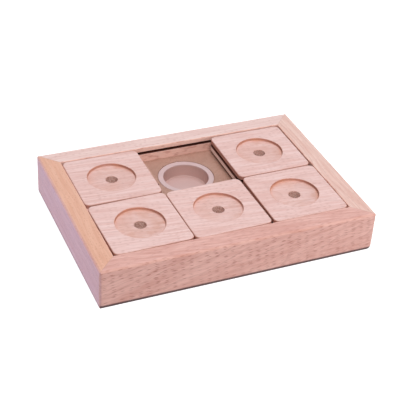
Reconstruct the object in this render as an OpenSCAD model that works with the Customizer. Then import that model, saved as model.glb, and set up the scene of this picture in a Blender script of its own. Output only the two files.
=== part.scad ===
// Sliding-block puzzle feeder for dogs: a mitred beech tray of 3 x 2 cells, five sliding
// blocks that hook into each other with tongues and grooves, and a treat cup in every cell.
// Millimetres, +X along the long side, +Y to the back, +Z up, origin under the middle.

/* [Tray] */
// width of the four beech rails, seen from above
rail_w = 19.6; // [17:0.1:24]
// height of the tray, foot to rail top
tray_h = 42; // [38:0.1:48]
// radius of the rails' outer top edge
outer_round = 2.5; // [0.5:0.1:4]
// radius of the rails' outer foot edge
foot_round = 1.5; // [0.5:0.1:3]
// radius of the foot edge on the tray's right side, which is rounded further
right_foot_round = 8; // [3:0.1:9]
// radius of the rails' inner top edge
inner_round = 0.8; // [0.3:0.1:1.5]
// radius of the tray's four upright corners
corner_round = 3; // [0.5:0.1:4]

/* [Blocks] */
// side of the square sliding blocks
block_w = 79.7; // [70:0.1:84]
// thickness of a block, all three layers
block_t = 12.8; // [11.5:0.1:13.5]
// how far the block tops lie below the rail tops
block_set = 0.2; // [0:0.1:0.8]
// corner radius of the blocks, seen from above
block_corner = 6; // [3:0.5:8]
// radius of the blocks' top edge
block_round = 1.2; // [0.5:0.1:2]
// slack that three blocks in a row leave along X, all gaps together
play_x = 3.9; // [3.8:0.1:5]
// slack that two blocks in a column leave along Y, all gaps together
play_y = 2.6; // [2.5:0.1:3]
// how far the front left block has turned in its play, in degrees
fl_turn = 1; // [0:0.1:1.1]
// how far the front middle block has turned in its play, in degrees
fm_turn = 0.9; // [0:0.1:1]
// diameter of the round paw dish in each block
dish_d = 48.4; // [36:0.2:60]
// depth of the paw dish
dish_t = 3; // [1.5:0.1:3.5]
// radius between the dish's wall and floor
dish_fillet = 1.2; // [0.4:0.1:1.4]
// diameter of the scent hole through each block
scent_d = 12; // [8:0.5:20]

/* [Tongues and grooves] */
// wood left above the groove of a block
lip_t = 4.6; // [4.2:0.1:5.4]
// height of the grooves
groove_h = 3.5; // [3:0.1:4]
// depth of the blocks' grooves
groove_d = 4.5; // [4.2:0.1:6]
// depth of the open grooves in the back and right rails
rail_groove_d = 7; // [4.5:0.1:9]
// how far the tongues stand out
tongue_out = 3.5; // [3:0.1:3.8]
// air above and below a block's tongue in its neighbour's groove
tongue_air = 0.25; // [0.15:0.05:0.4]
// length of a block's tongue
tongue_l = 38; // [24:1:52]
// how far the rail strips end short of the tray's inner corners
strip_end = 14; // [8:1:30]

/* [Cups and boards] */
// depth of the cup board's top face below the rail tops
recess_d = 16.7; // [16:0.1:17.5]
// thickness of the cup board
board_t = 4; // [3:0.1:5]
// how far the cup board runs into the rails' grooves
board_in = 5; // [3:0.5:8]
// thickness of the base board
base_t = 3; // [2:0.1:4]
// how far the base board lies above the foot
base_set = 1.5; // [0.5:0.1:2.5]
// how far the base board runs under the rails
base_in = 6; // [3:0.5:9]
// inside radius of a cup at its mouth
cup_r = 23.3; // [18:0.1:27]
// how much a cup narrows towards its floor
cup_draft = 0.4; // [0:0.1:2]
// air between the cups and the base board
cup_lift = 5.2; // [1:0.1:7]
// wall and floor thickness of a cup
cup_wall = 1.4; // [1:0.1:2]
// width of a cup's flange, mouth to edge
flange_w = 5.4; // [3:0.1:8]
// thickness of a cup's flange
flange_t = 1; // [0.6:0.1:1.4]
// air between a cup and its hole
cup_air = 0.3; // [0.2:0.05:0.8]
// air around a flange in its seat in the cup board
seat_air = 0.6; // [0.3:0.1:1]
// how far the cups stand off the cells' middles, along X
cups_off = -0.9; // [-1.5:0.1:1.5]
// width of the small moulding tab on a flange
nib_w = 2.2; // [1:0.1:4]
// direction of that tab, in degrees from +X
nib_turn = 87; // [0:1:359]

/* [Corner keys] */
// length of the hidden keys, across the mitre
key_l = 14; // [8:1:15]
// width of the hidden keys
key_w = 8; // [5:1:9]
// thickness of the hidden keys
key_t = 3; // [2:0.5:4]

/* [Hidden] */
$fn = 96;
eps = 1;                                   // overrun of a cut past a face
open_x = 3 * block_w + play_x;               // the tray's opening
open_y = 2 * block_w + play_y;
tray_l = open_x + 2 * rail_w;
tray_w = open_y + 2 * rail_w;

block_top = tray_h - block_set;            // levels of a block's layers
groove_top = block_top - lip_t;
groove_low = groove_top - groove_h;
block_low = block_top - block_t;
tongue_low = groove_low + tongue_air;
tongue_t = groove_h - 2 * tongue_air;
strip_low = groove_top - tongue_t;         // the rail strips carry the blocks' top layers

board_top = tray_h - recess_d;             // levels of the boards and cups
board_low = board_top - board_t;
seat_low = board_top - flange_t;           // the flanges lie flush in the cup board
cup_low = base_set + base_t + cup_lift;
cup_floor = cup_low + cup_wall;
flange_r = cup_r + flange_w;
hole_r = cup_r + cup_wall + cup_air;
key_low = (board_low + base_set + base_t - key_t) / 2;

// how the slack is shared out between the gaps, from the left and from the front
front_row_share = [0.24, 0.08, 0.61];
back_left_share = 0.05;
back_right_share = 0.26;
left_col_share = [0.36, 0.42];
mid_col_share = 0.235;
right_col_share = [0.115, 0.345];

half = block_w / 2;                        // each block's centre and turn
fl = [-open_x / 2 + front_row_share[0] * play_x + half,
      -open_y / 2 + left_col_share[0] * play_y + half, fl_turn];
fm = [fl[0] + block_w + front_row_share[1] * play_x,
      -open_y / 2 + mid_col_share * play_y + half, fm_turn];
fr = [fm[0] + block_w + front_row_share[2] * play_x,
      -open_y / 2 + right_col_share[0] * play_y + half, 0];
bl = [-open_x / 2 + back_left_share * play_x + half,
      fl[1] + block_w + left_col_share[1] * play_y, 0];
br = [open_x / 2 - back_right_share * play_x - half,
      fr[1] + block_w + right_col_share[1] * play_y, 0];
cell_x = open_x / 3;
cell_y = open_y / 2;

beech = [0.88, 0.76, 0.66];
beech_side = [0.85, 0.72, 0.61];
hardboard = [0.62, 0.46, 0.36];
plastic = [0.86, 0.80, 0.79];

// ---- helpers ----

// what a quarter round of radius r takes off an edge that runs along X at the origin,
// with the wood on the +Y and -Z side
module round_edge(l, r) {
    translate([-l / 2, 0, 0]) difference() {
        translate([0, -eps, -r]) cube([l, r + eps, r + eps]);
        translate([-eps, r, -r]) rotate([0, 90, 0]) cylinder(h = l + 2 * eps, r = r);
    }
}

// the same for an upright edge at the origin, with the wood on the +X and +Y side
module round_corner(h, r) {
    difference() {
        translate([-eps, -eps, -eps]) cube([r + eps, r + eps, h + 2 * eps]);
        translate([r, r, -2 * eps]) cylinder(h = h + 4 * eps, r = r);
    }
}

// a square plate with round corners
module plate(side, r, t) {
    linear_extrude(t) {
        square([side - 2 * r, side], center = true);
        square([side, side - 2 * r], center = true);
        for (x = [-1, 1], y = [-1, 1])
            translate([x * (side / 2 - r), y * (side / 2 - r)]) circle(r);
    }
}

// rounds the top edge of such a plate, whose top is at z = 0
module plate_round(side, r, e) {
    for (a = [0 : 90 : 270]) rotate(a) {
        translate([0, -side / 2, 0]) round_edge(side - 2 * r, e);
        translate([side / 2 - r, -side / 2 + r, 0]) rotate(-90)
            rotate_extrude(angle = 90) translate([r - e, -e]) difference() {
                square([e + eps, e + eps]);
                circle(e);
            }
    }
}

// ---- tray ----

// a mitred rail along X: outer face at y = 0, inner face at y = rail_w
module rail(l, slot_low, slot_h, slot_d) {
    difference() {
        linear_extrude(tray_h)
            polygon([[-l / 2, 0], [l / 2, 0], [l / 2 - rail_w, rail_w], [-l / 2 + rail_w, rail_w]]);
        translate([-l / 2, rail_w - slot_d, slot_low]) cube([l, slot_d + eps, slot_h]);
        translate([-l / 2, rail_w - board_in, board_low]) cube([l, board_in + eps, board_t]);
        translate([-l / 2, rail_w - base_in, -eps])
            cube([l, base_in + eps, base_set + base_t + eps]);
        translate([0, 0, tray_h]) round_edge(l, outer_round);
        mirror([0, 0, 1]) round_edge(l, foot_round);
        translate([0, rail_w, tray_h]) mirror([0, 1, 0]) round_edge(l, inner_round);
        for (m = [0, 1]) mirror([m, 0, 0]) {
            translate([-l / 2, 0, 0]) round_corner(tray_h, corner_round);
            translate([-l / 2, 0, 0]) key_body();
        }
    }
}

// the extra rounding along the right foot edge, which also runs over the rails that end there
module right_foot() {
    translate([tray_l / 2, 0, 0]) mirror([0, 0, 1]) rotate(90)
        round_edge(tray_w + 2 * eps, right_foot_round);
}

// a hidden key in the mitre of a corner whose outer edge is at the origin
module key_body() {
    translate([rail_w / 2, rail_w / 2, key_low]) rotate(45)
        translate([-key_w / 2, -key_l / 2, 0]) cube([key_w, key_l, key_t]);
}

module tongue_strip(l) {
    translate([-l / 2 + strip_end, rail_w - groove_d, strip_low])
        cube([l - 2 * strip_end, groove_d + tongue_out, tongue_t]);
}

module front_rail() color(beech) difference() {
    translate([0, -tray_w / 2, 0]) rail(tray_l, strip_low, tongue_t, groove_d);
    right_foot();
}
module back_rail() color(beech) difference() {
    rotate(180) translate([0, -tray_w / 2, 0]) rail(tray_l, tongue_low, groove_h, rail_groove_d);
    right_foot();
}
module left_rail() color(beech) rotate(-90) translate([0, -tray_l / 2, 0])
    rail(tray_w, strip_low, tongue_t, groove_d);
module right_rail() color(beech) difference() {
    rotate(90) translate([0, -tray_l / 2, 0]) rail(tray_w, tongue_low, groove_h, rail_groove_d);
    right_foot();
}

module front_tongue_strip() color(beech_side) translate([0, -tray_w / 2, 0]) tongue_strip(open_x);
module left_tongue_strip() color(beech_side) rotate(-90) translate([0, -tray_l / 2, 0])
    tongue_strip(open_y);

module corner_key(x, y) color(beech_side)
    mirror([x > 0 ? 1 : 0, 0, 0]) mirror([0, y > 0 ? 1 : 0, 0])
        translate([-tray_l / 2, -tray_w / 2, 0]) key_body();

// a board that fills the opening and runs on into the rails
module board(inside, low, t) {
    translate([-open_x / 2 - inside, -open_y / 2 - inside, low])
        cube([open_x + 2 * inside, open_y + 2 * inside, t]);
}

// places something for a cup in a cell
module at_cell(x, y) translate([x * cell_x + cups_off, y * cell_y / 2, 0]) children();

// a cup's flange with its tab; air makes it the seat for them
module flange(h, air) {
    translate([0, 0, seat_low]) cylinder(h = h, r = flange_r + air);
    rotate(nib_turn) translate([flange_r - nib_w, -nib_w / 2 - air, seat_low])
        cube([1.5 * nib_w + air, nib_w + 2 * air, h]);
}

module cup_board() color(hardboard) difference() {
    board(board_in, board_low, board_t);
    for (x = [-1 : 1], y = [-1, 1]) at_cell(x, y) {
        translate([0, 0, board_low - eps]) cylinder(h = board_t + 2 * eps, r = hole_r);
        flange(flange_t + eps, seat_air);
    }
}

module base_board() color(hardboard) board(base_in, base_set, base_t);

// ---- cups ----

module cup(x, y) color(plastic) at_cell(x, y) difference() {
    union() {
        flange(flange_t, 0);
        translate([0, 0, cup_low]) cylinder(h = seat_low + flange_t / 2 - cup_low,
            r1 = cup_r - cup_draft + cup_wall, r2 = cup_r + cup_wall);
    }
    rotate_extrude() polygon([[0, cup_floor], [cup_r - cup_draft, cup_floor],
        [cup_r, board_top], [cup_r, board_top + eps], [0, board_top + eps]]);
}

// ---- blocks ----

module block_top(p) color(beech) translate([p[0], p[1], block_top]) rotate(p[2]) difference() {
    translate([0, 0, -lip_t]) plate(block_w, block_corner, lip_t);
    plate_round(block_w, block_corner, block_round);
    rotate_extrude() {
        translate([0, -dish_t + dish_fillet]) square([dish_d / 2, dish_t - dish_fillet + eps]);
        translate([0, -dish_t]) square([dish_d / 2 - dish_fillet, dish_t]);
        translate([dish_d / 2 - dish_fillet, -dish_t + dish_fillet]) circle(dish_fillet);
    }
    translate([0, 0, -lip_t - eps]) cylinder(h = lip_t + 2 * eps, d = scent_d);
}

// the middle layer: set back on the left and front to leave a groove, with a thinner
// tongue standing out on the right and back
module block_tongue(p) color(beech_side) translate([p[0], p[1], 0]) rotate(p[2]) difference() {
    union() {
        translate([-half + groove_d, -half + groove_d, groove_low])
            cube([block_w - groove_d - block_corner, block_w - groove_d, groove_h]);
        translate([-half + groove_d, -half + groove_d, groove_low])
            cube([block_w - groove_d, block_w - groove_d - block_corner, groove_h]);
        translate([half - block_corner, half - block_corner, groove_low])
            cylinder(h = groove_h, r = block_corner);
        translate([0, -tongue_l / 2, tongue_low]) cube([half + tongue_out, tongue_l, tongue_t]);
        translate([-tongue_l / 2, 0, tongue_low]) cube([tongue_l, half + tongue_out, tongue_t]);
    }
    translate([0, 0, groove_low - eps]) cylinder(h = groove_h + 2 * eps, d = scent_d);
}

module block_bottom(p) color(beech_side) translate([p[0], p[1], block_low]) rotate(p[2]) difference() {
    plate(block_w, block_corner, groove_low - block_low);
    translate([0, 0, -eps]) cylinder(h = block_t, d = scent_d);
}

// ---- the parts ----

front_rail();
back_rail();
left_rail();
right_rail();
front_tongue_strip();
left_tongue_strip();
corner_key(-1, -1);  // corner_key_fl
corner_key(1, -1);  // corner_key_fr
corner_key(-1, 1);  // corner_key_bl
corner_key(1, 1);  // corner_key_br
cup_board();
base_board();
cup(-1, -1);  // cup_fl
cup(0, -1);  // cup_fm
cup(1, -1);  // cup_fr
cup(-1, 1);  // cup_bl
cup(0, 1);  // cup_bm
cup(1, 1);  // cup_br
block_top(fl);  // fl_top
block_tongue(fl);  // fl_tongue
block_bottom(fl);  // fl_bottom
block_top(fm);  // fm_top
block_tongue(fm);  // fm_tongue
block_bottom(fm);  // fm_bottom
block_top(fr);  // fr_top
block_tongue(fr);  // fr_tongue
block_bottom(fr);  // fr_bottom
block_top(bl);  // bl_top
block_tongue(bl);  // bl_tongue
block_bottom(bl);  // bl_bottom
block_top(br);  // br_top
block_tongue(br);  // br_tongue
block_bottom(br);  // br_bottom
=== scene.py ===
import math
from functools import partial

import bpy
from mathutils import Euler, Matrix, Vector


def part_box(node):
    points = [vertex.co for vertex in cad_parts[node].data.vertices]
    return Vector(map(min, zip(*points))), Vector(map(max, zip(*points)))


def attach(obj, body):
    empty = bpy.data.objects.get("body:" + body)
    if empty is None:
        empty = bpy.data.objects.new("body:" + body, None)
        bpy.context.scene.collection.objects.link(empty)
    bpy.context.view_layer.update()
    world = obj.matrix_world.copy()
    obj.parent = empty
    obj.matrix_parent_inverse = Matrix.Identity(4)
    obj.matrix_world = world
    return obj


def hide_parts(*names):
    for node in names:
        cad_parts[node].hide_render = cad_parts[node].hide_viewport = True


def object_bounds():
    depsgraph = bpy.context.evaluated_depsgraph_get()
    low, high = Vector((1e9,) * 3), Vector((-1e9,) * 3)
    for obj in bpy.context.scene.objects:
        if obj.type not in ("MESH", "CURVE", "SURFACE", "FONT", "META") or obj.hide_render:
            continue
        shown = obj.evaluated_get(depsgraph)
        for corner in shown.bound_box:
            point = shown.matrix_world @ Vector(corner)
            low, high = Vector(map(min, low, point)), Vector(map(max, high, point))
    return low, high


# A dog's sliding puzzle feeder: a mitred beech tray, five dished blocks that slide in it on
# tongues and grooves, and a moulded treat cup in every cell.

# ---- the fixed frame ----

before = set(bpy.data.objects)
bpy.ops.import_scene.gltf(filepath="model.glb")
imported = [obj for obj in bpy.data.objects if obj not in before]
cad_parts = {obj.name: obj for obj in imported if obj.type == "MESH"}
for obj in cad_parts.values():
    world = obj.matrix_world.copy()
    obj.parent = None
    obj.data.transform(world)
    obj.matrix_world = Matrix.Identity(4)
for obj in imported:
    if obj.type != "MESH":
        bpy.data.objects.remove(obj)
cad_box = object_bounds()
MM = 0.001


def low(name):
    """A CAD node's lowest corner, in metres."""
    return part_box(name)[0]


def high(name):
    """A CAD node's highest corner, in metres."""
    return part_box(name)[1]


BLOCKS = ("fl", "fm", "fr", "bl", "br")

# each block's centre, from its square bottom plate, and the spacing of the cells, in metres
CENTRE = {block: (low(f"{block}_bottom") + high(f"{block}_bottom")) / 2 for block in BLOCKS}
CELL = Vector(((low("cup_br").x - low("cup_bl").x) / 2, low("cup_bm").y - low("cup_fm").y, 0))

# sizes from the frame, in millimetres
TOP_LOW, TOP_HIGH = low("fl_top").z / MM, high("fl_top").z / MM
PLATE_LOW, PLATE_HIGH = low("fl_bottom").z / MM, high("fl_bottom").z / MM
BLOCK_HALF = (high("bl_bottom").x - low("bl_bottom").x) / 2 / MM
CUP_LOW, RIM_TOP = low("cup_bm").z / MM, high("cup_bm").z / MM
TRAY_HALF = Vector((cad_box[1].x, cad_box[1].y)) / MM
RAIL = (high("front_rail").y - low("front_rail").y) / MM
GROOVE = (low("fl_top").z + high("fl_bottom").z) / 2 / MM    # middle height of the grooves

# sizes that the frame's boxes don't give, in millimetres
CORNER = 6                # a block's corner radius
EDGE = 1.2                # rounding of a block's top edge
EASED = 0.3               # an edge that sandpaper has only eased
PLATE_EDGE = 0.5          # rounding of a bottom plate's lower edge
HOLE, HOLE_EDGE = 6.0, 0.4
DISH, DISH_DEEP, DISH_FILLET, DISH_RIM = 24.2, 3.0, 1.2, 0.35
SINGE = 0.8               # how far the dish wall's scorch spreads on to the top
SINGED_FLOOR = 3.0        # and how far it spreads on to the dish floor
MOUTH, DRAFT, WALL = 23.3, 0.4, 1.4
MOUTH_EDGE, CUP_FILLET, CUP_FOOT = 0.5, 1, 0.6
COLLAR, COLLAR_DRAFT = 1.8, 0.05    # depth of the thick wall at the mouth, and its draft there
CUP_FLOOR_RIM = 4         # width of the floor's outer ring
FLANGE, FLANGE_T, FLANGE_EDGE = 28.7, 1.0, 0.3
TAB_OUT, TAB_HALF_W, TAB_ROOT = 1.1, 1.1, 0.4
TAB_TURN = 87             # the way that the cups' tabs point, in degrees from +X
CUPS_OFF = -0.9           # the cups stand this far off the cells' middles
TURN = {"fl": 1.0, "fm": 0.9}    # how far two of the blocks have turned in their play, degrees

# how finely the pieces are turned
BLOCK_STEPS, CUP_STEPS = 160, 120
ROUND_TO, SQUARE_FROM = 28, 34    # a block's rings are round within 28 mm, square past 34 mm
CROWDING = 0.75           # how far a block's steps crowd to its corners
WELD = 0.002 * MM         # points that are closer than this, in metres, become one
ARC_STEPS, FINE_ARC, FINE_ARC_STEPS = 5, 0.5, 3    # steps in a rounding, and in one under 0.5 mm
GUARD, GUARD_SHARE, GUARD_LEAST = 0.25, 0.35, 0.01    # guard points beside a rounded corner
TAB_SLOPE = (1.15, 0.85)  # the tab's sides rise between these shares of its half angle


# ---- small tools ----

def colour(code):
    """An sRGB hex value as linear RGBA."""
    parts = [int(code[i:i + 2], 16) / 255 for i in (1, 3, 5)]
    return [x / 12.92 if x <= 0.04045 else ((x + 0.055) / 1.055) ** 2.4 for x in parts] + [1]


# a Mix node's sockets share their names, so they are known by these places
SHARE, NUMBER_A, NUMBER_B, COLOUR_A, COLOUR_B = 0, 2, 3, 6, 7


def node(tree, kind, inputs=(), **settings):
    """Adds a node. inputs holds values, nodes or sockets for its sockets, in order, or by their
    names or places. A node stands for its first output."""
    own = kind.startswith(("Geometry", "Function", "NodeGroup"))
    new = tree.nodes.new(kind if own else "ShaderNode" + kind)
    for key, value in settings.items():
        setattr(new, key, value)
    for key, value in inputs.items() if isinstance(inputs, dict) else enumerate(inputs):
        if isinstance(value, bpy.types.Node):
            value = next(s for s in value.outputs if s.enabled)
        if isinstance(value, bpy.types.NodeSocket):
            tree.links.new(value, new.inputs[key])
        else:
            new.inputs[key].default_value = value
    return new


def material(name):
    """A new material with an empty node tree, and the call that adds a node to it."""
    made = bpy.data.materials.new(name)
    made.use_nodes = True
    made.node_tree.nodes.clear()
    return made, partial(node, made.node_tree)


def in_scene(name, data):
    """A new object of a mesh, lamp or camera, in the scene."""
    made = bpy.data.objects.new(name, data)
    bpy.context.scene.collection.objects.link(made)
    return made


def profile(name, corners):
    """A turning profile as a mesh of points. corners holds (radius, height, rounding, tint),
    in millimetres. Each rounded corner becomes an arc with a guard point on both sides, which
    keeps the flats flat in smooth shading. Corners on the axis stay sharp."""
    points, tints = [], []
    for i, (radius, height, rounding, tint) in enumerate(corners):
        here = Vector((radius, height))
        if not rounding:
            points.append(here)
            tints.append(tint)
            continue
        before = Vector(corners[i - 1][:2]) - here
        after = Vector(corners[(i + 1) % len(corners)][:2]) - here
        half = before.angle(after) / 2
        reach = rounding / math.tan(half)
        room = min(before.length, after.length) / 2 - reach
        guard = max(min(GUARD, GUARD_SHARE * room), GUARD_LEAST)
        back, on = before.normalized(), after.normalized()
        middle = here + (back + on).normalized() * rounding / math.sin(half)
        start, end = here + back * reach - middle, here + on * reach - middle
        turn = start.angle_signed(end)
        steps = FINE_ARC_STEPS if rounding < FINE_ARC else ARC_STEPS
        points.append(here + back * (reach + guard))
        for step in range(steps + 1):
            points.append(middle + Matrix.Rotation(-turn * step / steps, 2) @ start)
        points.append(here + on * (reach + guard))
        tints += [tint] * (steps + 3)
    mesh = bpy.data.meshes.new(name)
    mesh.from_pydata([(point.x * MM, 0, point.y * MM) for point in points], [], [])
    mesh.attributes.new("tint", "FLOAT", "POINT").data.foreach_set("value", tints)
    return in_scene(name, mesh)


def grown(obj, tree, name, body, **inputs):
    """Runs a Geometry Nodes tree on a profile with named inputs, and makes the result a plain
    mesh that rides on a body."""
    modifier = obj.modifiers.new("grow", "NODES")
    modifier.node_group = tree
    socket = {s.name: s.identifier for s in tree.interface.items_tree if s.in_out == "INPUT"}
    for key, value in inputs.items():
        modifier[socket[key.replace("_", " ")]] = value
    bpy.context.view_layer.update()
    evaluated = obj.evaluated_get(bpy.context.evaluated_depsgraph_get())
    mesh = bpy.data.meshes.new_from_object(evaluated)
    obj.modifiers.remove(modifier)
    mesh.name = name
    piece = in_scene(name, mesh)
    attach(piece, body)
    return piece


# ---- Geometry Nodes: turned shapes, with all lengths in metres ----

def geometry_tree(name, result, **sockets):
    """A Geometry Nodes tree with a Profile input, named inputs and one output, the call that
    adds a node to it, and what its inputs give."""
    tree = bpy.data.node_groups.new(name, "GeometryNodeTree")
    tree.interface.new_socket("Profile", in_out="INPUT", socket_type="NodeSocketGeometry")
    for kind, names in sockets.items():
        for label in names:
            tree.interface.new_socket(label, in_out="INPUT", socket_type="NodeSocket" + kind)
    tree.interface.new_socket(result, in_out="OUTPUT", socket_type="NodeSocketGeometry")
    add = partial(node, tree)
    return tree, add, add("NodeGroupInput").outputs


def end_of_tree(add, shape, given):
    """Realizes what a tree has made, gives it the material and puts it out."""
    real = add("GeometryNodeRealizeInstances", [shape])
    add("NodeGroupOutput", [add("GeometryNodeSetMaterial",
                                {"Geometry": real, "Material": given["Material"]})])


def profile_grid(add, given):
    """A grid with a column of points for each step around and a row for each profile point,
    with the first row again at the end if the profile is closed. Also gives the step and the
    profile point that each point of the grid stands for."""
    rings = add("GeometryNodeAttributeDomainSize", [given["Profile"]])
    rows = add("Math", [rings, given["Closed"]], operation="ADD")
    columns = add("Math", [given["Around"], 1], operation="ADD")
    grid = add("GeometryNodeMeshGrid", {"Size X": 1.0, "Size Y": 1.0, "Vertices X": columns,
                                        "Vertices Y": rows}).outputs[0]
    index = add("GeometryNodeInputIndex")
    midway = add("Math", [index, 0.5], operation="ADD")
    step = add("Math", [add("Math", [midway, rows], operation="DIVIDE")], operation="FLOOR")
    passed = add("Math", [step, rows], operation="MULTIPLY")
    row = add("Math", [index, passed], operation="SUBTRACT")
    return grid, step, add("Math", [row, rings], operation="MODULO")


def crowded_angle(add, given, step):
    """The angle of a step, with more steps near a square's corners, where the outline turns."""
    share = add("Math", [step, given["Around"]], operation="DIVIDE")
    even = add("Math", [share, 2 * math.pi], operation="MULTIPLY")
    fourfold = add("Math", [even, 4], operation="MULTIPLY")
    wave = add("Math", [fourfold], operation="SINE")
    crowd = add("Math", [given["Crowding"], 4], operation="DIVIDE")
    return add("Math", [wave, crowd, even], operation="MULTIPLY_ADD")


def rounded_square(add, radius, cosine, sine, corner_centre):
    """How far out a ray meets a rounded square with a half width of radius, whose corner arcs
    stand on corner_centre."""
    run, rise = [add("Math", [s], operation="ABSOLUTE") for s in (cosine, sine)]
    longer = add("Math", [run, rise], operation="MAXIMUM")
    shorter = add("Math", [run, rise], operation="MINIMUM")
    side = add("Math", [radius, longer], operation="DIVIDE")
    # past the flat of the side, the ray meets the arc: along + sqrt(along² + arc² - 2 centre²)
    both = add("Math", [run, rise], operation="ADD")
    along = add("Math", [corner_centre, both], operation="MULTIPLY")
    arc = add("Math", [radius, corner_centre], operation="SUBTRACT")
    arc = add("Math", [arc, 0], operation="MAXIMUM")
    squares = [add("Math", [s, 2], operation="POWER") for s in (along, arc, corner_centre)]
    summed = add("Math", squares[:2], operation="ADD")
    under = add("Math", [squares[2], -2, summed], operation="MULTIPLY_ADD")
    under = add("Math", [under, 0], operation="MAXIMUM")
    corner = add("Math", [along, add("Math", [under], operation="SQRT")], operation="ADD")
    beside = add("Math", [side, shorter], operation="MULTIPLY")
    past = add("Math", [beside, corner_centre], operation="GREATER_THAN")
    return add("Mix", {SHARE: past, NUMBER_A: side, NUMBER_B: corner})


def with_tab(add, given, radius, angle, out):
    """Pulls the outermost rings out over a window of the angle."""
    off = add("Math", [angle, given["Tab Turn"]], operation="SUBTRACT")
    off = add("Math", [off, math.pi, -math.pi], operation="WRAP")
    off = add("Math", [off], operation="ABSOLUTE")
    edges = [add("Math", [given["Tab Half Angle"], share], operation="MULTIPLY")
             for share in TAB_SLOPE]
    window = add("MapRange", [off, *edges, 0, given["Tab Out"]])
    outermost = add("Math", [radius, given["Tab From"]], operation="GREATER_THAN")
    return add("Math", [window, outermost, out], operation="MULTIPLY_ADD")


def turning_tree():
    """Turns a profile about Z. Past the circle it can square the rings up into a rounded square
    (Corner Centre above 0), and it can pull out one small tab."""
    tree, add, given = geometry_tree(
        "turn_and_square_up", "Turned", Int=("Around",), Bool=("Closed",),
        Float=("Corner Centre", "Round To", "Square From", "Crowding", "Tab Out", "Tab From",
               "Tab Turn", "Tab Half Angle", "Turn"),
        Vector=("Centre",), Material=("Material",))
    grid, step, ring = profile_grid(add, given)
    spot = add("GeometryNodeSampleIndex", {
        "Geometry": given["Profile"], "Index": ring,
        "Value": add("GeometryNodeInputPosition")}, data_type="FLOAT_VECTOR", clamp=True)
    radius, _, height = add("SeparateXYZ", [spot]).outputs
    angle = crowded_angle(add, given, step)
    cosine = add("Math", [angle], operation="COSINE")
    sine = add("Math", [angle], operation="SINE")
    square = rounded_square(add, radius, cosine, sine, given["Corner Centre"])
    squared = add("MapRange", [radius, given["Round To"], given["Square From"]],
                  interpolation_type="SMOOTHSTEP")
    out = add("Mix", {SHARE: squared, NUMBER_A: radius, NUMBER_B: square})
    out = with_tab(add, given, radius, angle, out)
    place = add("CombineXYZ", [add("Math", [out, cosine], operation="MULTIPLY"),
                               add("Math", [out, sine], operation="MULTIPLY"), height])
    place = add("VectorRotate", {"Vector": place, "Angle": given["Turn"]},
                rotation_type="Z_AXIS")
    place = add("VectorMath", [place, given["Centre"]], operation="ADD")
    shape = add("GeometryNodeSetPosition", {"Geometry": grid, "Position": place})
    tint = add("GeometryNodeInputNamedAttribute", {"Name": "tint"}, data_type="FLOAT")
    tint = add("GeometryNodeSampleIndex", {"Geometry": given["Profile"], "Index": ring,
                                           "Value": tint}, data_type="FLOAT", clamp=True)
    shape = add("GeometryNodeStoreNamedAttribute",
                {"Geometry": shape, "Name": "tint", "Value": tint},
                data_type="FLOAT", domain="POINT")
    shape = add("GeometryNodeMergeByDistance", {"Geometry": shape, "Distance": WELD})
    end_of_tree(add, add("GeometryNodeSetShadeSmooth", [shape]), given)
    return tree


def cups_tree(turning):
    """Stands one turned cup on every cell of the tray but one, or on that one alone."""
    tree, add, given = geometry_tree(
        "cups_in_the_cells", "Cups", Int=("Around", "Cells Along", "Cells Across", "Open Cell"),
        Float=("Tab Out", "Tab From", "Tab Turn", "Tab Half Angle"),
        Vector=("Cell Size", "Centre"), Bool=("Open Cell Alone",), Material=("Material",))
    cup = add("GeometryNodeGroup", node_tree=turning)
    for name in ("Profile", "Around", "Tab Out", "Tab From", "Tab Turn", "Tab Half Angle",
                 "Centre", "Material"):
        tree.links.new(given[name], cup.inputs[name])
    width, depth, _ = add("SeparateXYZ", [given["Cell Size"]]).outputs
    steps = [add("Math", [given[count], 1], operation="SUBTRACT")
             for count in ("Cells Along", "Cells Across")]
    cells = add("GeometryNodeMeshGrid", {
        "Size X": add("Math", [width, steps[0]], operation="MULTIPLY"),
        "Size Y": add("Math", [depth, steps[1]], operation="MULTIPLY"),
        "Vertices X": given["Cells Along"], "Vertices Y": given["Cells Across"]})
    # sockets 2 and 3 are the two whole numbers that are compared
    is_open = add("FunctionNodeCompare",
                  {2: add("GeometryNodeInputIndex"), 3: given["Open Cell"]},
                  data_type="INT", operation="EQUAL")
    wanted = add("FunctionNodeBooleanMath", [is_open, given["Open Cell Alone"]],
                 operation="XNOR")
    end_of_tree(add, add("GeometryNodeInstanceOnPoints",
                         {"Points": cells, "Selection": wanted, "Instance": cup}), given)
    return tree


# ---- materials ----

# colours that the beech pieces share
END_GRAIN, HANDLED_EDGE = "#A97C6C", "#B87C5F"
# sawn faces, painted shade for the blocks' grooves, and two colours of painted light, in
# speckles, for the scent holes' walls
SAWN, BLOCK_GROOVE_SHADE, HOLE_LIGHT, HOLE_LIGHT_PALE = "#AE6A54", "#6E3E30", "#D29A8A", "#FFDCD0"
# the dish walls' scorched colour, and a darker copy of it as painted shade for walls that face
# -X
SCORCHED, SCORCH_IN_SHADE = "#C98560", "#7C4A3A"
# the mitres' glue line, and painted shade for the rails' lower edges
GLUE_LINE, FOOT_SHADE = "#8A5A48", "#3A1E22"
# a rail's fresh and torn inner faces, and painted shade, near black, for its groove
FRESH_CUT, TORN_CUT, GROOVE_SHADE_COLOUR = "#F6C4B2", "#CE8670", "#5A2E22"

TO_MM = (1000, 1000, 1000)       # turns Object coordinates into millimetres
TO_FLAT_MM = (1000, 1000, 0)     # the same, seen from above
RINGS = 0.33                     # years in a millimetre of wood, at 3 mm a year
SHADED_WALL_FACING = (-0.98, 0.1, 0)        # how a dish wall faces where its scorched colour is darkened as painted shade


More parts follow.
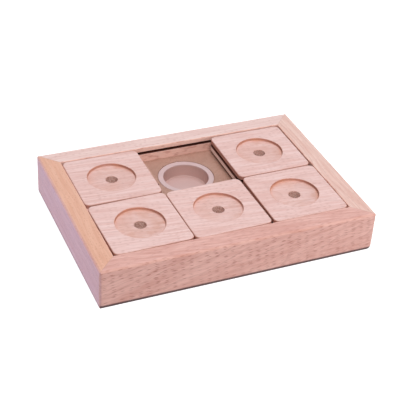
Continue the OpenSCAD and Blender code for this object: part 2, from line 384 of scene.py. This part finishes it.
def log_places(add, coords, grain, middle, heart, shift, lean):
    """Where a point is on its board, in millimetres from the tree's middle, and in the log:
    along it, round it and out from its heart. Also gives that last distance by itself."""
    quarter = 0 if grain == "X" else -math.pi / 2
    board = add("Mapping", {
        "Vector": coords["Object"], "Scale": TO_MM,
        "Rotation": (0, math.radians(lean[0]), quarter - math.radians(lean[1])),
        "Location": (shift, -middle[0] - heart[0], -middle[1] - heart[1])})
    # the log's slow wander, a few millimetres over a hand's width
    slow = add("VectorMath", [board, (0.008, 0.02, 0.02)], operation="MULTIPLY")
    sway = add("TexNoise", {"Vector": slow, "Scale": 1.0, "Detail": 1.0}).outputs["Color"]
    bent = add("VectorMath", [sway, (0, 9, 9), board], operation="MULTIPLY_ADD")
    along, across, up = add("SeparateXYZ", [bent]).outputs
    flat = add("VectorMath", [bent, (0, 1, 1)], operation="MULTIPLY")
    out = add("VectorMath", [flat], operation="LENGTH")
    angle = add("Math", [across, up], operation="ARCTAN2")
    around = add("Math", [angle, math.hypot(*heart)], operation="MULTIPLY")
    return board, add("CombineXYZ", [along, around, out]), out


def beech_figure(add, log, out, ray):
    """What a beech log shows where it is cut: the tone of its bands, its late-wood lines, its
    ray flecks and its fibre, each from 0 to 1."""
    scales = {"bands": (0.010, 0.03, 0.42),    # growth bands, 2 to 4 mm wide
              "patch": (0.012, 0.03, 0.06),    # paler and darker patches, about 15 mm wide
              "streak": (0.03, 0.34, 0.5),     # darker threads side by side, 2 mm wide
              "fibre": (0.05, 1.6, 1.6),       # 0.1 mm wide in truth, drawn 0.6 mm to show
              "rays": (0.5 / ray[0], 0.5 / ray[1], 1)}    # a cell is two flecks long and wide
    spot = {key: add("VectorMath", [log, size], operation="MULTIPLY")
            for key, size in scales.items()}
    bands = add("TexNoise", {"Vector": spot["bands"], "Scale": 1.0, "Detail": 3.0,
                             "Roughness": 0.55})
    patch = add("TexNoise", {"Vector": spot["patch"], "Scale": 1.0, "Detail": 1.0})
    fibre, streak = [add("TexNoise", {"Vector": spot[key], "Scale": 1.0, "Detail": 2.0,
                                      "Roughness": 0.6}) for key in ("fibre", "streak")]
    grown_in = add("Mix", {SHARE: 0.35, NUMBER_A: bands, NUMBER_B: patch})
    threaded = add("Mix", {SHARE: 0.5, NUMBER_A: grown_in, NUMBER_B: streak})
    tone = add("MapRange", [threaded, 0.4, 0.6])

    # flecks: one in some of the cells of a pattern, in fewer where the wood is pale
    cells = add("TexVoronoi", {"Vector": spot["rays"], "Scale": 1.0, "Randomness": 1.0},
                voronoi_dimensions="2D")
    chance = add("Math", [add("SeparateColor", [cells.outputs["Color"]]),
                          add("MapRange", [patch, 0.35, 0.6, 0.12, -0.12])], operation="ADD")
    rays = add("Math", [add("MapRange", [cells, 0.34, 0.16]),
                        add("MapRange", [chance, 0.4, 0.8])], operation="MULTIPLY")

    # late wood: a year's ring ends in a thin darker line
    uneven = add("Math", [patch, 3.0], operation="MULTIPLY")
    years = add("Math", [out, RINGS, uneven], operation="MULTIPLY_ADD")
    year = add("Math", [years], operation="FRACT")
    late = add("Math", [add("MapRange", [year, 0.7, 0.97]),
                        add("MapRange", [bands, 0.35, 0.65])], operation="MULTIPLY")
    return tone, late, rays, fibre


def block_cuts(add, wood, coords, board, upward, hole, sawn, shade_facing):
    """A block's sawn sides, browner than its sanded faces, the faces in its grooves, painted
    dark as shade, and its scent hole's wall, painted pale as light, in speckles."""
    side = add("MapRange", [upward, 0.85, 0.45, 0, sawn])
    wood = add("Mix", {SHARE: side, COLOUR_A: wood, COLOUR_B: colour(SAWN)}, data_type="RGBA")
    # painted shade: the faces in a block's grooves that look the given way turn dark
    look = add("VectorMath", [coords["Normal"], Vector(shade_facing).normalized()],
               operation="DOT_PRODUCT")
    wood = add("Mix", {SHARE: add("MapRange", [look, 0.4, 0.65]), COLOUR_A: wood,
                       COLOUR_B: colour(BLOCK_GROOVE_SHADE)}, data_type="RGBA")
    # painted light: round the scent hole the upright wall is painted pale, in speckles, as if
    # lit deep down
    off = add("VectorMath", [coords["Object"], tuple(hole)], operation="SUBTRACT")
    off = add("VectorMath", [off, TO_FLAT_MM], operation="MULTIPLY")
    away = add("VectorMath", [off], operation="LENGTH")
    in_hole = add("Math", [add("MapRange", [away, HOLE + 1.0, HOLE + 0.4]),
                           add("MapRange", [upward, 0.8, 0.3])], operation="MULTIPLY")
    specks = add("TexNoise", {"Vector": board, "Scale": 0.9, "Detail": 2.0})
    painted_hole_light = add("Mix", {SHARE: add("MapRange", [specks, 0.4, 0.6]), COLOUR_A: colour(HOLE_LIGHT),
                       COLOUR_B: colour(HOLE_LIGHT_PALE)}, data_type="RGBA")
    return add("Mix", {SHARE: in_hole, COLOUR_A: wood, COLOUR_B: painted_hole_light}, data_type="RGBA")


def dish_scorch_and_shade(add, wood, coords, board, scorch_and_shade):
    """What the dish cutter has scorched, on the dish wall and in blotches on the dish floor,
    with painted shade darkening it on the walls that face -X."""
    tint = add("Attribute", attribute_name="tint").outputs["Fac"]
    spread = add("VectorMath", [board, (0.07, 0.07, 0.3)], operation="MULTIPLY")
    blotch = add("TexNoise", {"Vector": spread, "Scale": 1.0, "Detail": 3.0})
    patchy = add("MapRange", [blotch, 0.38, 0.62, 0.2 * scorch_and_shade, scorch_and_shade])
    # painted shade: dish walls that face -X take the darker copy of the scorched colour
    look = add("VectorMath", [coords["Normal"], SHADED_WALL_FACING], operation="DOT_PRODUCT")
    shaded_scorch = add("Mix", {SHARE: add("MapRange", [look, 0.3, 0.9]), COLOUR_A: colour(SCORCHED),
                       COLOUR_B: colour(SCORCH_IN_SHADE)}, data_type="RGBA")
    return add("Mix", {SHARE: add("Math", [tint, patchy], operation="MULTIPLY"),
                       COLOUR_A: wood, COLOUR_B: shaded_scorch}, data_type="RGBA")


def rail_marks(add, wood, coords, board, foot_shade, sawn):
    """A rail's mitres with their glue line, painted shade along its lower edge, its fresh-cut
    inner face with torn patches, and painted shade, near black, in the groove that the tongues
    run in."""
    place = add("VectorMath", [coords["Object"], TO_MM], operation="MULTIPLY")
    place = add("SeparateXYZ", [place]).outputs
    from_ends, from_sides = [
        add("Math", [half, add("Math", [at], operation="ABSOLUTE")], operation="SUBTRACT")
        for half, at in zip(TRAY_HALF, place[:2])]
    # the glue line: 0.1 mm of glue and crushed fibre in truth, drawn 0.6 mm wide to show
    off_mitre = add("Math", [from_ends, from_sides], operation="SUBTRACT")
    off_mitre = add("Math", [off_mitre], operation="ABSOLUTE")
    wood = add("Mix", {SHARE: add("MapRange", [off_mitre, 0.7, 0.2, 0, 0.16]),
                       COLOUR_A: wood, COLOUR_B: colour(GLUE_LINE)}, data_type="RGBA")
    # painted shade on the lowest 3 mm, as in the contact shadow under the rail's rounded lower
    # edge
    wood = add("Mix", {SHARE: add("MapRange", [place[2], 3.8, 2.6, 0, foot_shade]),
                       COLOUR_A: wood, COLOUR_B: colour(FOOT_SHADE)}, data_type="RGBA")
    # how deep a point is in the rail, from its outer face
    deep = add("Math", [from_ends, from_sides], operation="MINIMUM")
    inner = add("MapRange", [deep, RAIL - 1.0, RAIL - 0.6, 0, sawn])
    spread = add("VectorMath", [board, (0.09, 0.3, 0.3)], operation="MULTIPLY")
    torn = add("TexNoise", {"Vector": spread, "Scale": 1.0, "Detail": 3.0})
    cut = add("Mix", {SHARE: add("MapRange", [torn, 0.52, 0.66]), COLOUR_A: colour(FRESH_CUT),
                      COLOUR_B: colour(TORN_CUT)}, data_type="RGBA")
    wood = add("Mix", {SHARE: inner, COLOUR_A: wood, COLOUR_B: cut}, data_type="RGBA")
    # the groove, painted near black as its shade, lies behind the inner face, past the outer 4
    # mm, within 1.9 mm of its middle
    level = add("Math", [place[2], GROOVE], operation="SUBTRACT")
    level = add("Math", [level], operation="ABSOLUTE")
    behind = add("MapRange", [deep, RAIL - 0.1, RAIL - 0.8])
    inside = add("Math", [add("MapRange", [deep, 4, 5]), add("MapRange", [level, 1.95, 1.8])],
                 operation="MULTIPLY")
    groove_shade = add("Math", [behind, inside], operation="MULTIPLY")
    return add("Mix", {SHARE: groove_shade, COLOUR_A: wood, COLOUR_B: colour(GROOVE_SHADE_COLOUR)},
               data_type="RGBA")


def beech(name, grain="X", middle=(0, 36), heart=(30, -60), shift=0, lean=(0, 0),
          light="#EFCDC7", dark="#E2B7AE", fleck="#B98A7E", flecks=0.35, ray=(3.0, 0.7),
          lines=0.3, sawn=0.7, shade_facing=None, scorch_and_shade=None, hole=None, foot_shade=None):
    """Steamed beech, planed, sanded and lightly oiled: pinkish tan with soft bands and thin
    late-wood lines along the grain, short dark ray flecks on the faces that look at the heart,
    plainer faces beside them, a darker end grain and warmer, handled edges.

    Where the board comes from: grain is the way that it runs, middle its place across that and
    up, heart the way from there to the tree's middle, in millimetres, and shift slides the
    pattern along it. lean turns the grain off the board's length, in degrees, in its upright
    and its flat face. How it looks: light, dark and fleck are its colours, flecks and lines say
    how strong its flecks and late-wood lines are, and ray gives the flecks' length and width.
    What was done to it: sawn says how much the upright cut faces of a block or the inner faces
    of a rail differ from the sanded ones, shade_facing which way the faces of a block look that
    are painted dark as shade in its grooves, scorch_and_shade how much the dish cutter has
    scorched the dish, with painted shade on its walls that face -X, hole the middle of the scent
    hole, in metres, whose wall is painted pale as light, and foot_shade how much painted shade
    darkens a rail's lower edge."""
    made, add = material(name)
    coords = add("TexCoord").outputs
    board, log, out = log_places(add, coords, grain, middle, heart, shift, lean)
    tone, late, rays, fibre = beech_figure(add, log, out, ray)

    # which way a face looks: out at the board's ends, between two flat faces, at the heart
    facing = add("VectorMath", [coords["Normal"]], operation="ABSOLUTE")
    to_x, to_y, to_z = add("SeparateXYZ", [facing]).outputs
    ends = add("MapRange", [to_x if grain == "X" else to_y, 0.55, 0.95])
    flattest = add("Math", [to_x, add("Math", [to_y, to_z], operation="MAXIMUM")],
                   operation="MAXIMUM")
    rounded = add("MapRange", [flattest, 0.995, 0.93])
    to_heart = (0, heart[0], heart[1]) if grain == "X" else (-heart[0], 0, heart[1])
    heartward = add("VectorMath", [coords["Normal"], Vector(to_heart).normalized()],
                    operation="DOT_PRODUCT")
    heartward = add("Math", [heartward], operation="ABSOLUTE")
    flecked = add("MapRange", [heartward, 0.15, 0.9, 0.12, flecks])

    wood = add("Mix", {SHARE: tone, COLOUR_A: colour(dark), COLOUR_B: colour(light)},
               data_type="RGBA")
    wood = add("Mix", {SHARE: add("Math", [late, lines], operation="MULTIPLY"),
                       COLOUR_A: wood, COLOUR_B: colour(fleck)}, data_type="RGBA")
    threads = add("MapRange", [fibre, 0.3, 0.7, 0.95, 1.04])
    wood = add("VectorMath", {0: wood, "Scale": threads}, operation="SCALE")
    # the flecks, the end grain, which drinks the oil, and the edges, which hands have warmed
    for where, strength, stain in ((rays, flecked, fleck), (ends, 0.6, END_GRAIN),
                                   (rounded, 0.2, HANDLED_EDGE)):
        wood = add("Mix", {SHARE: add("Math", [where, strength], operation="MULTIPLY"),
                           COLOUR_A: wood, COLOUR_B: colour(stain)}, data_type="RGBA")
    if hole:
        wood = block_cuts(add, wood, coords, board, to_z, hole, sawn, shade_facing)
    if scorch_and_shade:
        wood = dish_scorch_and_shade(add, wood, coords, board, scorch_and_shade)
    if foot_shade:
        wood = rail_marks(add, wood, coords, board, foot_shade, sawn)

    relief = add("Math", [fibre, 0.5], operation="MULTIPLY")
    relief = add("Math", [rays, -0.35, relief], operation="MULTIPLY_ADD")
    bump = add("Bump", {"Height": relief, "Strength": 0.35, "Distance": 0.05 * MM})
    rough = add("MapRange", [fibre, 0, 1, 0.5, 0.7])
    skin = add("BsdfPrincipled", {"Base Color": wood, "Roughness": rough, "Normal": bump,
                                  "IOR": 1.5})
    add("OutputMaterial", [skin])
    return made


def hardboard(name, light, dark):
    """Pressed hardboard, smooth face: brown wood fibre with fine lighter and darker specks."""
    made, add = material(name)
    coords = add("TexCoord").outputs["Object"]
    # fibre bundles: 0.3 mm in truth, drawn 1 mm so that they show
    speck = add("TexNoise", {"Vector": coords, "Scale": 900.0, "Detail": 4.0,
                             "Roughness": 0.7})
    cloud = add("TexNoise", {"Vector": coords, "Scale": 60.0, "Detail": 2.0})
    mixed = add("Mix", {SHARE: 0.2, NUMBER_A: speck, NUMBER_B: cloud})
    board = add("Mix", {SHARE: add("MapRange", [mixed, 0.38, 0.62]), COLOUR_A: colour(dark),
                        COLOUR_B: colour(light)}, data_type="RGBA")
    rough = add("MapRange", [speck, 0, 1, 0.4, 0.62])
    bump = add("Bump", {"Height": speck, "Strength": 0.3, "Distance": 0.04 * MM})
    skin = add("BsdfPrincipled", {"Base Color": board, "Roughness": rough, "Normal": bump,
                                  "IOR": 1.5})
    add("OutputMaterial", [skin])
    return made


def moulded_cup(name):
    """Polypropylene, injection moulded with a satin face: milky, thin enough in the wall for the
    brown board behind to tint it, paler at the thick flange."""
    made, add = material(name)
    coords = add("TexCoord").outputs["Object"]
    thin = add("Attribute", attribute_name="tint").outputs["Fac"]
    # flow marks, 11 mm wide, and the mould's satin grit, 0.1 mm in truth, drawn 0.4 mm to show
    flow = add("TexNoise", {"Vector": coords, "Scale": 90.0, "Detail": 2.0})
    grit = add("TexNoise", {"Vector": coords, "Scale": 2600.0, "Detail": 2.0})
    pale = add("Mix", {SHARE: flow, COLOUR_A: colour("#D0B3B2"), COLOUR_B: colour("#DBBFBD")},
               data_type="RGBA")
    shell = add("Mix", {SHARE: thin, COLOUR_A: pale, COLOUR_B: colour("#C8A39A")},
                data_type="RGBA")
    rough = add("MapRange", [grit, 0, 1, 0.3, 0.5])
    bump = add("Bump", {"Height": grit, "Strength": 0.2, "Distance": 0.02 * MM})
    skin = add("BsdfPrincipled", {"Base Color": shell, "Roughness": rough, "Normal": bump,
                                  "IOR": 1.49})
    add("OutputMaterial", [skin])
    return made


# ---- the tray: CAD nodes in their finishes ----

planed_strip = beech("planed_beech_strips", shift=700)
FINISH = {
    "front_rail": beech("steamed_beech_front_rail", middle=(-91, 21), heart=(85, -25),
                        shift=560, foot_shade=0.95, lean=(6, -5), light="#E7B7AC", dark="#D59E92",
                        fleck="#984C3C", flecks=0.65, ray=(4.2, 0.48), lines=0.25),
    "back_rail": beech("steamed_beech_back_rail", middle=(91, 21), heart=(-80, 60), shift=410,
                       foot_shade=0.3, light="#F1D5CE", dark="#E6C2BA"),
    "left_rail": beech("steamed_beech_left_rail", grain="Y", middle=(131, 21),
                       heart=(-90, -60), shift=90, foot_shade=0.3, light="#E8B69D",
                       dark="#DFA88E", fleck="#C48A70", flecks=0.6, ray=(2.0, 0.6),
                       lines=0.1),
    "right_rail": beech("steamed_beech_right_rail", grain="Y", middle=(-131, 21),
                        heart=(60, -30), shift=300, foot_shade=0.3, light="#EFCDC1",
                        dark="#E0B4A6", lines=0.35),
    "front_tongue_strip": planed_strip,
    "left_tongue_strip": planed_strip,
    "cup_board": hardboard("hardboard_smooth_face", "#C29A8A", "#A57A69"),
    "base_board": hardboard("hardboard_base", "#A98070", "#8C6455")}
for corner in ("fl", "fr", "bl", "br"):
    FINISH[f"corner_key_{corner}"] = planed_strip
for block in BLOCKS:
    # the tongues' beech is painted darker as shade, for the grooves they run in, and their faces
    # that look front and left darker again
    FINISH[f"{block}_tongue"] = beech(f"sawn_beech_in_painted_shade_{block}_tongue", grain="Y", shift=800,
                                      hole=CENTRE[block], shade_facing=(-1, -1, 0),
                                      light="#C39A8A", dark="#AA7D6D")
for name, finish in FINISH.items():
    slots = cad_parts[name].data.materials
    slots.clear()
    slots.append(finish)

# ---- the blocks: turned tops and bottom plates ----

# profiles: radius, height, rounding and how scorched the wood is, which also sets how much
# painted shade the dish walls take
top_profile = profile("block_top_profile", [
    (HOLE, TOP_LOW, EASED, 0), (BLOCK_HALF, TOP_LOW, EASED, 0), (BLOCK_HALF, TOP_HIGH, EDGE, 0),
    (DISH + SINGE, TOP_HIGH, 0, 0), (DISH, TOP_HIGH, DISH_RIM, 0.7),
    (DISH, TOP_HIGH - DISH_DEEP, DISH_FILLET, 0.7),
    (DISH - SINGED_FLOOR, TOP_HIGH - DISH_DEEP, 0, 0.45),
    (HOLE, TOP_HIGH - DISH_DEEP, EASED, 0.2)])
plate_profile = profile("block_plate_profile", [
    (HOLE, PLATE_LOW, HOLE_EDGE, 0), (BLOCK_HALF, PLATE_LOW, PLATE_EDGE, 0),
    (BLOCK_HALF, PLATE_HIGH, EASED, 0), (HOLE, PLATE_HIGH, EASED, 0)])

turning = turning_tree()
# heart of the tree, slide along the board, lean, and how scorched each block's top is, which
# also sets the painted shade on its dish walls
LOOKS = {"fl": ((30, -70), 50, -8, 1.0), "fm": ((-45, -60), 330, -6, 0.5),
         "fr": ((20, -80), 610, -5, 0.8), "bl": ((60, -60), 890, -3, 0.7),
         "br": ((10, -75), 1170, -3, 0.7)}
PLATE_SHIFT = 140    # a plate comes from this far along its block's board
for block, (heart, shift, lean, scorch_and_shade) in LOOKS.items():
    centre = CENTRE[block]
    square = dict(Around=BLOCK_STEPS, Closed=True, Corner_Centre=(BLOCK_HALF - CORNER) * MM,
                  Round_To=ROUND_TO * MM, Square_From=SQUARE_FROM * MM, Crowding=CROWDING,
                  Turn=math.radians(TURN.get(block, 0)), Centre=(centre.x, centre.y, 0))
    # the top's downward face and the plate's upward face, which close the groove, are painted
    # dark as shade, and their hole walls pale as light
    top = grown(top_profile, turning, f"{block}_top_plate", f"block_{block}", **square,
                Material=beech(f"sanded_beech_{block}_top", shift=shift, lean=(0, lean),
                               middle=(centre.y / MM, TOP_HIGH), heart=heart, scorch_and_shade=scorch_and_shade,
                               hole=centre, shade_facing=(0, 0, -1)))
    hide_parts(f"{block}_top")
    # the plate's beech is paler than the top's and its sides are not browned: partly the paler
    # long grain of a plate cut across the top's grain, partly painted light on the side that
    # shows below the groove
    plate = grown(plate_profile, turning, f"{block}_bottom_plate", f"block_{block}", **square,
                  Material=beech(f"planed_beech_{block}_plate", grain="Y",
                                 shift=shift + PLATE_SHIFT, sawn=0.0, shade_facing=(0, 0, 1),
                                 light="#F9E0D6", dark="#EFCBBE", heart=heart, hole=centre,
                                 middle=(-centre.x / MM, PLATE_LOW)))
    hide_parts(f"{block}_bottom")

# ---- the cups ----

# profile: radius, height, rounding and how thin the wall is
cup_profile = profile("cup_profile", [
    (0, CUP_LOW, 0, 0), (MOUTH - DRAFT + WALL, CUP_LOW, CUP_FOOT, 0),
    (MOUTH + WALL, RIM_TOP - FLANGE_T, FLANGE_EDGE, 0),
    (FLANGE, RIM_TOP - FLANGE_T, FLANGE_EDGE, 0), (FLANGE, RIM_TOP, FLANGE_EDGE, 0),
    (MOUTH, RIM_TOP, MOUTH_EDGE, 0), (MOUTH - COLLAR_DRAFT, RIM_TOP - COLLAR, 0, 1),
    (MOUTH - DRAFT, CUP_LOW + WALL, CUP_FILLET, 0.8),
    (MOUTH - CUP_FLOOR_RIM, CUP_LOW + WALL, 0, 0.6), (0, CUP_LOW + WALL, 0, 0.45)])
cups = cups_tree(turning)
# the cells are counted from the front left one, 0, back and then along, so 3 is the open one
cup_sizes = dict(Around=CUP_STEPS, Tab_Out=TAB_OUT * MM, Tab_From=(FLANGE - TAB_ROOT) * MM,
                 Tab_Turn=math.radians(TAB_TURN), Tab_Half_Angle=TAB_HALF_W / FLANGE,
                 Cell_Size=tuple(CELL), Centre=(CUPS_OFF * MM, 0, 0), Cells_Along=3,
                 Cells_Across=2, Open_Cell=3,
                 Material=moulded_cup("polypropylene_satin_moulded"))
covered = grown(cup_profile, cups, "covered_cups", "tray", Open_Cell_Alone=False, **cup_sizes)
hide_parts("cup_fl", "cup_fm", "cup_fr", "cup_bl", "cup_br")
open_cup = grown(cup_profile, cups, "open_cell_cup", "cup_bm", Open_Cell_Alone=True, **cup_sizes)
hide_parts("cup_bm")
for used in (top_profile, plate_profile, cup_profile):
    bpy.data.objects.remove(used)

# ---- floor, light and camera, in metres ----

FLOOR_HALF = 6


def seen(add):
    """1 for what the camera sees, straight, in gloss or through something clear, else 0."""
    path = add("LightPath").outputs
    straight = add("Math", [path["Is Camera Ray"], path["Is Glossy Ray"]], operation="MAXIMUM")
    return add("Math", [straight, path["Is Transmission Ray"]], operation="MAXIMUM")


floor_mesh = bpy.data.meshes.new("studio_floor")
floor_mesh.from_pydata([(x * FLOOR_HALF, y * FLOOR_HALF, 0)
                        for x, y in ((-1, -1), (1, -1), (1, 1), (-1, 1))], [], [(0, 1, 2, 3)])
floor = in_scene("studio_floor", floor_mesh)
# matt paper that looks white to the camera, but throws no more light on the tray than grey
paper, add = material("white_paper")
matt = add("BsdfDiffuse", {"Color": (0.52, 0.52, 0.52, 1)})
glow = add("Emission", {"Color": (1, 1, 1, 1), "Strength": 0.8})
both = add("AddShader", [matt, glow])
add("OutputMaterial", [add("MixShader", [seen(add), matt, both])])
floor_mesh.materials.append(paper)

# a cool, dim room that looks white to the camera
scene = bpy.context.scene
scene.world = bpy.data.worlds.new("studio")
scene.world.use_nodes = True
scene.world.node_tree.nodes.clear()
add = partial(node, scene.world.node_tree)
room = add("Background", {"Color": (0.93, 0.95, 1.0, 1), "Strength": 0.26})
white = add("Background", {"Color": (1, 1, 1, 1), "Strength": 1.0})
add("OutputWorld", [add("MixShader", [seen(add), room, white])])


def softbox(name, place, width, height, power, tint=(1, 1, 1)):
    """A studio lamp, aimed at the middle of the tray."""
    lamp = bpy.data.lights.new(name, "AREA")
    lamp.shape = "RECTANGLE"
    lamp.size, lamp.size_y = width, height
    lamp.energy, lamp.color = power, tint
    stand = in_scene(name, lamp)
    stand.location = place
    stand.rotation_euler = (-Vector(place)).to_track_quat("-Z", "Y").to_euler()


# the main light, one behind for the tops, and three low ones that each fill one side, of which
# the left one is cool, as a shaded side is
softbox("front_softbox", (-0.55, -1.75, 3.2), 1.8, 1.8, 81.0)
softbox("overhead_softbox", (0.35, 0.5, 1.8), 0.5, 0.5, 7.6, (0.97, 0.98, 1.04))
softbox("right_softbox", (0.5, -0.6, 0.15), 0.3, 0.3, 1.5)
softbox("left_fill", (-0.6, 0.045, 0.03), 0.1, 0.04, 1.5, (0.2, 0.3, 1.0))
softbox("back_softbox", (0.3, 1.3, 0.08), 0.5, 0.08, 4.0)

# a long lens, in front of the tray's left corner and above it
CAMERA_PLACE = (-0.38678, -0.83468, 0.66157)
CAMERA_TURNS = (54.774, -3.257, -22.979)    # tilt up from straight down, roll and pan, degrees
camera = bpy.data.cameras.new("camera")
camera.sensor_width, camera.lens = 36.0, 96.79
camera.clip_start, camera.clip_end = 0.05, 20.0
camera_object = in_scene("camera", camera)
turned = Euler([math.radians(angle) for angle in CAMERA_TURNS]).to_matrix().to_4x4()
camera_object.matrix_world = Matrix.Translation(CAMERA_PLACE) @ turned
scene.camera = camera_object
scene.view_settings.view_transform = "Standard"
